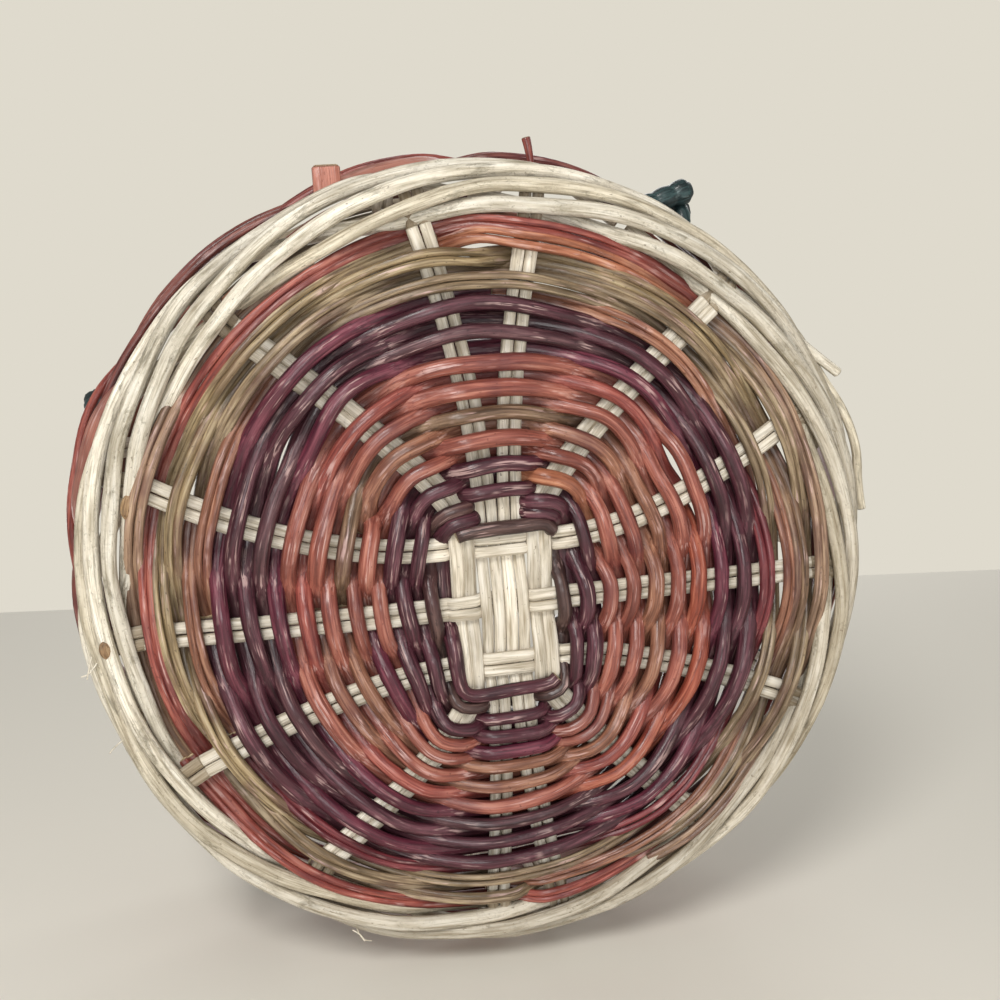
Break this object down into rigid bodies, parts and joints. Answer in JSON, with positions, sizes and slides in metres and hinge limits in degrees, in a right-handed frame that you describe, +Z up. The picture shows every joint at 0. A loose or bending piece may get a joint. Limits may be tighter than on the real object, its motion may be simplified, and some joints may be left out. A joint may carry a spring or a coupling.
{
  "type": "onion basket",
  "caption": "Round wicker basket with a woven base on a stick cross, a waled foot, a bellied wall with an open band, a three-rod rim and small lug loops.",
  "frame": {"origin": "middle of the bottom, on the plane that the foot wale stands on", "axes": "+Z up, out of the basket's mouth; +X and +Y in the plane of the base, with the long side of the stick cross along +Y"},
  "size_m": [0.3065, 0.3016, 0.1245],
  "materials": {
    "peeled_willow": "dry peeled willow, grey and brown stains",
    "dark_purple_rod": "dyed and varnished willow",
    "purple_rod": "dyed and varnished willow",
    "terracotta_rod": "dyed and varnished willow",
    "amber_rod": "dyed and varnished willow",
    "olive_rod": "dyed and varnished willow",
    "red_rod": "dyed and varnished willow",
    "maroon_rod": "dyed and varnished willow",
    "green_rod": "dark green dyed willow"
  },
  "bodies": {
    "root": {"base_stick_01": "peeled_willow", "base_stick_02": "peeled_willow", "base_stick_03": "peeled_willow", "base_stick_04": "peeled_willow", "base_stick_05": "peeled_willow", "base_stick_06": "peeled_willow", "base_stick_07": "peeled_willow", "base_stick_08": "peeled_willow", "base_stick_09": "peeled_willow", "base_stick_10": "peeled_willow", "base_stick_11": "peeled_willow", "base_stick_12": "peeled_willow", "base_stick_13": "peeled_willow", "base_stick_14": "peeled_willow", "base_weaver_a_heart": "dark_purple_rod", "base_weaver_a_mixed": "purple_rod", "base_weaver_a_terracotta": "terracotta_rod", "base_weaver_a_purple": "purple_rod", "base_weaver_a_amber": "amber_rod", "base_weaver_a_olive": "olive_rod", "base_weaver_a_red": "red_rod", "base_weaver_b_heart": "dark_purple_rod", "base_weaver_b_mixed": "amber_rod", "base_weaver_b_terracotta": "terracotta_rod", "base_weaver_b_purple": "purple_rod", "base_weaver_b_olive": "olive_rod", "foot_wale_rod_1": "peeled_willow", "foot_wale_rod_2": "peeled_willow", "foot_wale_rod_3": "peeled_willow", "foot_wale_rod_4": "peeled_willow", "foot_wale_rod_5": "peeled_willow", "side_stake_01": "peeled_willow", "side_stake_02": "peeled_willow", "side_stake_03": "peeled_willow", "side_stake_04": "peeled_willow", "side_stake_05": "peeled_willow", "side_stake_06": "peeled_willow", "side_stake_07": "peeled_willow", "side_stake_08": "peeled_willow", "side_stake_09": "peeled_willow", "side_stake_10": "peeled_willow", "side_stake_11": "peeled_willow", "side_stake_12": "peeled_willow", "side_stake_13": "peeled_willow", "side_stake_14": "peeled_willow", "splint_band_lower": "terracotta_rod", "splint_band_upper": "terracotta_rod", "wall_weaver_a": "maroon_rod", "wall_weaver_b": "maroon_rod", "upper_rod_low": "amber_rod", "upper_rod_high": "purple_rod", "rim_rod_inner": "peeled_willow", "rim_rod_outer": "peeled_willow", "rim_rod_top": "peeled_willow", "lug_loop_1": "green_rod", "lug_loop_2": "green_rod", "lug_loop_3": "green_rod", "lug_loop_4": "green_rod", "splint_end_tab": "terracotta_rod", "loose_rod_end": "red_rod"}
  },
  "joints": []
}
